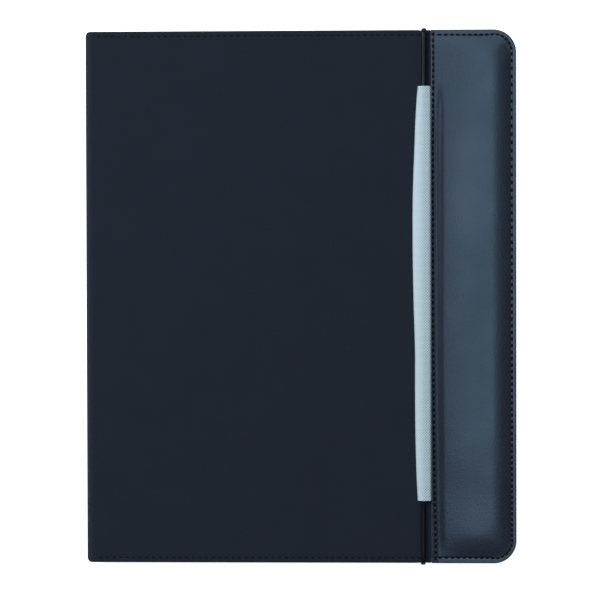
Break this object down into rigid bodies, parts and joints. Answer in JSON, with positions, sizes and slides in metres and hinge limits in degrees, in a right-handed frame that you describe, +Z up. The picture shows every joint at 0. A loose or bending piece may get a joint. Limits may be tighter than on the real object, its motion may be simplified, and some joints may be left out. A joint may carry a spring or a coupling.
{
  "type": "portfolio folder",
  "caption": "Slim hardcover portfolio folder in woven cloth with a padded leatherette fore-edge panel, elastic cord closure, inner pockets and a writing pad.",
  "frame": {"origin": "under the middle of the closed folder, on the face it rests on", "axes": "+X from the spine to the fore-edge, +Y to the head of the folder, +Z up out of the front cover"},
  "size_m": [0.257, 0.3228, 0.0226],
  "materials": {
    "navy_cloth": "matte",
    "leatherette": "satin",
    "lining": "matte",
    "pocket_cloth": "matte",
    "greyboard": "matte",
    "foam": "matte",
    "elastic": "matte",
    "pale_twill": "matte",
    "paper": "matte",
    "binding_tape": "matte"
  },
  "bodies": {
    "back_cover": {"back_cloth": "navy_cloth", "back_board": "greyboard", "back_lining": "lining", "pad_pocket": "pocket_cloth", "pad_backing": "greyboard", "pad_pages": "paper", "pad_binding": "binding_tape", "pen_loop": "elastic", "cord_leg_head": "elastic", "cord_leg_foot": "elastic"},
    "spine": {"spine_cloth": "navy_cloth", "spine_strip": "greyboard", "spine_lining": "lining"},
    "front_cover": {"front_cloth": "navy_cloth", "leatherette_panel": "leatherette", "panel_foam": "foam", "front_foam": "foam", "front_board": "greyboard", "front_lining": "lining", "pocket_gusset": "pocket_cloth", "document_pocket": "pocket_cloth", "card_pocket_1": "pocket_cloth", "card_pocket_2": "pocket_cloth", "card_pocket_3": "pocket_cloth"},
    "closure": {"elastic_cord": "elastic", "closure_sleeve": "pale_twill"}
  },
  "joints": [
    {"name": "spine_hinge", "type": "hinge", "parent": "back_cover", "child": "spine", "pos_m": [-0.1275, 0, 0.001], "axis": [0, -1, 0], "range_deg": [0, 90]},
    {"name": "cover_hinge", "type": "hinge", "parent": "spine", "child": "front_cover", "pos_m": [-0.126, 0, 0.0184], "axis": [0, -1, 0], "range_deg": [0, 90]},
    {"name": "closure_lift", "type": "slide", "parent": "back_cover", "child": "closure", "axis": [0, 0, 1], "range_m": [0, 0.06], "stiffness_N_per_m": 100, "springref_m": -0.03, "deforming": ["cord_leg_head", "cord_leg_foot", "elastic_cord", "closure_sleeve"]}
  ]
}
